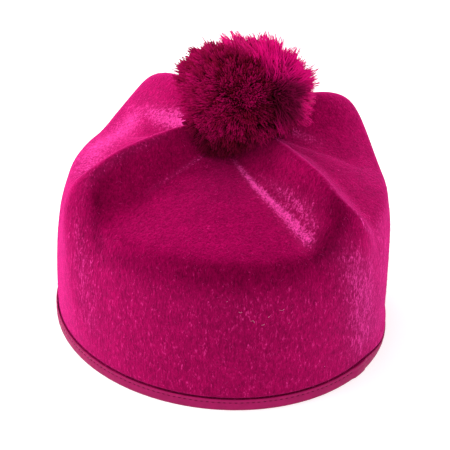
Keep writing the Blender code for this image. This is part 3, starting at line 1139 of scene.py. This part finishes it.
class BIRETTA_OT_pompon(bpy.types.Operator):
    """The yarn pompon: a core, a dense pile of cut ends and a fan of long strands"""

    bl_idname = "biretta.pompon"
    bl_label = "Pompon"

    def execute(self, context):
        chance = np.random.default_rng(7)
        middle = np.array((POMPON_LOW + POMPON_HIGH) / 2)
        ball = (POMPON_HIGH.x - POMPON_LOW.x) / 2
        middle[2] = POMPON_HIGH.z - ball * POMPON_FLATNESS
        felt = felt_tree()
        yarn = cut_yarn()
        pile, tone = pile_paths(ball, chance)
        on_left = pile[:, -1, 0] < 0
        fan, fan_tone = fan_paths(ball, chance)
        blunt, tapered = (1.0, 0.8), (1.0, 0.9, 0.8, 0.35)
        # The pile is two pieces, because one would be too large a mesh.
        pieces = (
            ("pompon_pile_left", pile[on_left], tone[on_left], blunt, 1.0, ("pompon",)),
            ("pompon_pile_right", pile[~on_left], tone[~on_left], blunt, 1.0, ()),
            ("pompon_fan", fan, fan_tone, tapered, FAN_LIT, ()),
        )
        for name, paths, tones, taper, openness, nodes in pieces:
            lit = lit_share(unit(paths[:, -1])) * openness
            paths = middle + paths * (1.0, 1.0, POMPON_FLATNESS)
            paths = lifted_off(paths.reshape(-1, 3), felt, YARN_CLEARANCE).reshape(paths.shape)
            widths = sizes().strand_width * np.array(taper)
            widths = widths[None, :] * chance.uniform(0.75, 1.25, (len(paths), 1))
            mesh = strand_mesh(paths, widths, np.clip(tones, 0, 1), lit)
            store(mesh, "outward", unit(places(mesh) - middle))
            add_piece(name, mesh, yarn, nodes)
        shape = bmesh.new()
        bmesh.ops.create_icosphere(shape, subdivisions=5, radius=1.0)
        core = mesh_from(shape)
        ways = unit(places(core))
        reach = CORE_REACH * ball * reach_of(ways) * (1 - 0.12 * fan_share(ways))
        points = middle + ways * reach[:, None] * (1.0, 1.0, POMPON_FLATNESS)
        core.vertices.foreach_set("co", lifted_off(points, felt, CORE_CLEARANCE).ravel())
        store(core, "along", lit_share(ways))
        add_piece("pompon_core", core, packed_yarn())
        return {"FINISHED"}


def outer_faces(shape):
    """The felt's faces that are on the outside, above the ribbon.

    Those on the inside look towards the cap's middle line, or down.
    """
    found = []
    for face in shape.faces:
        middle = face.calc_center_median()
        outwards = Vector((*(middle.xy - HEM_MIDDLE.xy), 0.05))
        is_above = middle.z > HEM_HEIGHT + FIBRES_FROM
        if is_above and face.normal.z > -0.3 and face.normal.dot(outwards) > 0:
            found.append(face)
    return found


class BIRETTA_OT_loose_fibres(bpy.types.Operator):
    """Fibres that stand off the felt"""

    bl_idname = "biretta.loose_fibres"
    bl_label = "Loose fibres"

    def execute(self, context):
        chance = np.random.default_rng(23)
        shape = cad_copy("felt_cap")
        outer = outer_faces(shape)
        areas = np.array([face.calc_area() for face in outer])
        count = sizes().fibre_count
        chosen = chance.choice(len(outer), count, p=areas / areas.sum())
        steps = 3
        paths = np.empty((count, steps, 3))
        for index, which in enumerate(chosen):
            face = outer[which]
            # Two cuts share a whole into three parts, which give a chance place on the face.
            one, two = sorted(chance.uniform(0, 1, 2))
            a, b, c = (corner.co for corner in face.verts)
            start = a * one + b * (two - one) + c * (1 - two)
            aside = face.normal.orthogonal().normalized()
            aside.rotate(Matrix.Rotation(chance.uniform(0, math.tau), 3, face.normal))
            length = chance.uniform(0.8, 2.4) * MM
            rise = chance.uniform(0.10, 0.50)
            curl = face.normal.cross(aside) * chance.uniform(-0.6, 0.6)
            # It starts just inside the felt, rises from it and bends over.
            for step in range(steps):
                share = step / (steps - 1)
                place = start + aside * length * share
                place = place + face.normal * (length * rise * share * (1.4 - share) - 0.05 * MM)
                paths[index, step] = place + curl * length * share * share
        shape.free()
        taper = np.array([1.0, 0.8, 0.4])
        widths = np.broadcast_to(FIBRE_THICKNESS * taper, (count, steps))
        mesh = strand_mesh(paths, widths, chance.uniform(0, 1, count))
        add_piece("loose_fibres", mesh, fibre_ends())
        return {"FINISHED"}


class BIRETTA_OT_lint(bpy.types.Operator):
    """A few fibres of lint on the wall"""

    bl_idname = "biretta.lint"
    bl_label = "Lint"

    def execute(self, context):
        felt = felt_tree()
        chance = np.random.default_rng(31)
        paths = []
        for bit in LINT:
            curl = chance.uniform(-LINT_CURL, LINT_CURL)
            path = []
            for share in np.linspace(-0.5, 0.5, 6):
                lean = math.radians(bit.lean) + curl * share
                along = math.cos(lean) * bit.length * share
                rise = math.sin(lean) * bit.length * share
                turn = bit.turn + math.degrees(along * MM / HEM_ALONG)
                # A ray from outside finds the wall, and the fibre lies just off it.
                outward = view_direction(turn, 0)
                place = HEM_MIDDLE + outward * 0.2 + Vector((0, 0, (bit.height + rise) * MM))
                hit = felt.ray_cast(place, -outward)[0]
                path.append(hit + outward * 0.25 * MM)
            paths.append(path)
        paths = np.array(paths)
        taper = np.array([0.5, 1, 1, 1, 1, 0.5])
        widths = np.broadcast_to(LINT_THICKNESS * taper, paths.shape[:2])
        mesh = strand_mesh(paths, widths, np.zeros(len(paths)))
        add_piece("lint", mesh, lint_fibre())
        return {"FINISHED"}


def add_light(light):
    """A soft square light aimed at the cap."""
    data = bpy.data.lights.new(light.name, "AREA")
    data.size = light.size
    data.energy = light.power
    lamp = bpy.data.objects.new(light.name, data)
    bpy.context.scene.collection.objects.link(lamp)
    away = view_direction(light.turn, light.up)
    lamp.location = Vector((0.0, 0.0, LIGHT_TARGET_HEIGHT)) + away * light.distance
    lamp.rotation_euler = away.to_track_quat("Z", "Y").to_euler()


def add_camera(scene):
    """The photograph's camera, turned so that the hem falls where it does there."""
    data = bpy.data.cameras.new("camera")
    data.sensor_width = SENSOR
    data.lens = VIEW_LENS
    data.clip_start = 0.01
    camera = bpy.data.objects.new("camera", data)
    scene.collection.objects.link(camera)
    focal = VIEW_LENS / SENSOR * PICTURE
    centre = PICTURE / 2
    lower = math.degrees(math.atan((HEM_IN_PICTURE[1] - centre) / focal))
    aside = math.degrees(math.atan((centre - HEM_IN_PICTURE[0]) / focal))
    camera.location = HEM_MIDDLE + view_direction(VIEW_ROUND, VIEW_UP) * VIEW_DISTANCE
    back = view_direction(VIEW_ROUND - aside, VIEW_UP - lower)
    camera.rotation_euler = back.to_track_quat("Z", "Y").to_euler()
    scene.camera = camera


class BIRETTA_OT_stage(bpy.types.Operator):
    """The floor, the soft lights and the camera"""

    bl_idname = "biretta.stage"
    bl_label = "Stage"

    def execute(self, context):
        scene = context.scene
        shape = bmesh.new()
        bmesh.ops.create_grid(shape, x_segments=1, y_segments=1, size=FLOOR_SIZE)
        mesh = mesh_from(shape, smooth=False)
        mesh.materials.append(opal_sheet())
        floor = bpy.data.objects.new("floor", mesh)
        scene.collection.objects.link(floor)
        world = bpy.data.worlds.new("studio")
        world.use_nodes = True
        scene.world = world
        sky = world.node_tree.nodes["Background"]
        set_inputs(world.node_tree, sky, Color=(1.0, 1.0, 1.0), Strength=SKY_STRENGTH)
        for light in LIGHTS:
            add_light(light)
        scene.view_settings.view_transform = "Standard"
        add_camera(scene)
        return {"FINISHED"}


class BIRETTA_PT_panel(bpy.types.Panel):
    """Lists the pieces of the biretta"""

    bl_idname = "BIRETTA_PT_panel"
    bl_label = "Biretta"
    bl_space_type = "VIEW_3D"
    bl_region_type = "UI"
    bl_category = "Biretta"

    def draw(self, context):
        for operator in OPERATORS:
            self.layout.operator(operator.bl_idname)
        for group in (sizes(), context.scene.biretta_colours):
            for name in group.__annotations__:
                self.layout.prop(group, name)


OPERATORS = (
    BIRETTA_OT_felt_cap,
    BIRETTA_OT_hem_ribbon,
    BIRETTA_OT_hem_stitches,
    BIRETTA_OT_pompon,
    BIRETTA_OT_loose_fibres,
    BIRETTA_OT_lint,
    BIRETTA_OT_stage,
)
CLASSES = (BirettaSizes, BirettaColours, *OPERATORS, BIRETTA_PT_panel)


def register():
    """Make Blender know the classes and the two groups of properties."""
    for item in CLASSES:
        bpy.utils.register_class(item)
    bpy.types.Scene.biretta_sizes = PointerProperty(type=BirettaSizes)
    bpy.types.Scene.biretta_colours = PointerProperty(type=BirettaColours)


def unregister():
    """Undo what register did."""
    del bpy.types.Scene.biretta_colours
    del bpy.types.Scene.biretta_sizes
    for item in reversed(CLASSES):
        bpy.utils.unregister_class(item)


def main():
    """Build the pieces and the stage."""
    register()
    bpy.ops.biretta.felt_cap()
    bpy.ops.biretta.hem_ribbon()
    bpy.ops.biretta.hem_stitches()
    bpy.ops.biretta.pompon()
    bpy.ops.biretta.loose_fibres()
    bpy.ops.biretta.lint()
    bpy.ops.biretta.stage()


if __name__ == "__main__":
    main()
